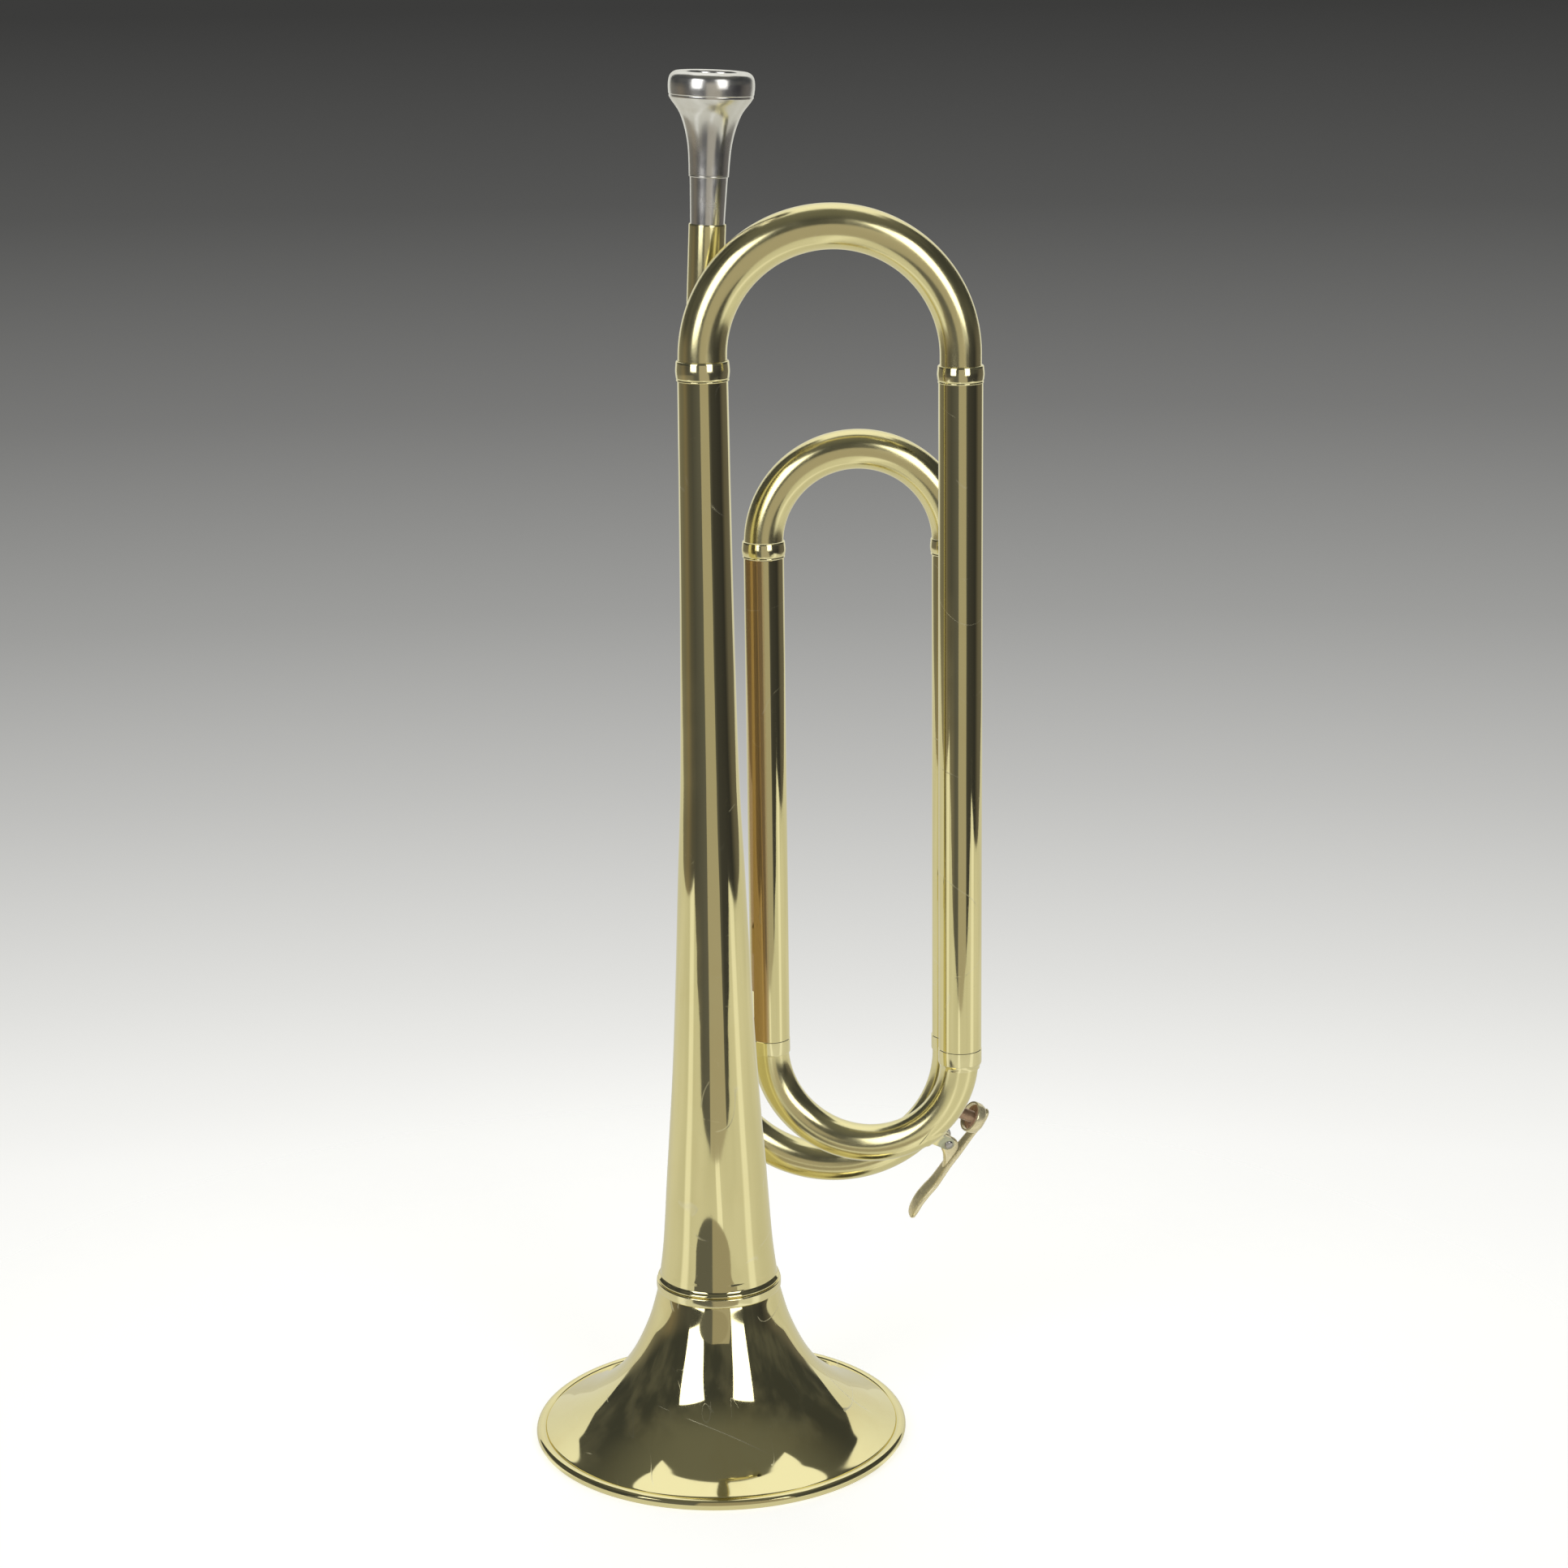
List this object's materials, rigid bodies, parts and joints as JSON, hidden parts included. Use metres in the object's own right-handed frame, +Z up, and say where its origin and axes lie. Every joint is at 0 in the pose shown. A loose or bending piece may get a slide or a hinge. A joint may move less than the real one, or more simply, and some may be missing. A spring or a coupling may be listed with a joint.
{
  "type": "bugle",
  "caption": "Coiled brass bugle standing on its bell, with a removable cup mouthpiece, a tuning slide and a sprung water key.",
  "frame": {"origin": "centre of the bell mouth, on the bell axis, in the plane the rim rests on", "axes": "+Z up the bell axis towards the mouthpiece, +X from the bell towards the loops, +Y towards the rear layer of tubes and the leadpipe"},
  "size_m": [0.1525, 0.1244, 0.4492],
  "materials": {
    "brass": "lacquered, worn gloss",
    "silver_plate": "silver plate, polished, lightly tarnished",
    "nickel_silver": "nickel silver, satin",
    "steel": "blued steel, satin",
    "cork": "matt cork"
  },
  "bodies": {
    "horn": {"leadpipe": "brass", "leadpipe_ferrule": "brass", "rear_bottom_bow": "brass", "right_inner_lower_ferrule": "brass", "right_inner_tube": "brass", "left_inner_tube": "brass", "left_inner_lower_ferrule": "brass", "front_bottom_bow": "brass", "right_outer_lower_ferrule": "brass", "right_outer_tube": "brass", "right_outer_upper_ferrule": "brass", "large_top_bow": "brass", "bell_stem_ferrule": "brass", "bell_stem": "brass", "bell_ring": "brass", "bell_flare": "brass", "bell_rim_wire": "brass", "mouthpiece_receiver": "brass", "water_key_nipple": "brass", "bell_brace_upper": "brass", "bell_brace_lower": "brass", "inner_tube_brace": "brass", "right_brace_upper": "brass", "right_brace_lower": "brass", "water_key_saddle": "nickel_silver", "water_key_pivot_screw": "steel", "water_key_spring": "steel"},
    "mouthpiece": {"mouthpiece": "silver_plate"},
    "tuning_slide": {"tuning_slide_bow": "brass", "tuning_slide_left_ferrule": "brass", "tuning_slide_right_ferrule": "brass", "tuning_slide_left_leg": "nickel_silver", "tuning_slide_right_leg": "nickel_silver"},
    "water_key": {"water_key_lever": "nickel_silver", "water_key_cork": "cork"}
  },
  "joints": [
    {"name": "mouthpiece_pull", "type": "slide", "parent": "horn", "child": "mouthpiece", "axis": [0.0469, -0.003, 0.9989], "range_m": [0, 0.03]},
    {"name": "tuning_slide_pull", "type": "slide", "parent": "horn", "child": "tuning_slide", "axis": [0, 0, 1], "range_m": [0, 0.04]},
    {"name": "water_key_pivot", "type": "hinge", "parent": "horn", "child": "water_key", "pos_m": [0.07593, 0.00485, 0.10113], "axis": [-0.2288, 0.9346, 0.2723], "range_deg": [0, 20], "stiffness_Nm_per_rad": 0.02, "springref_deg": -28.65, "deforming": ["water_key_spring"]}
  ]
}
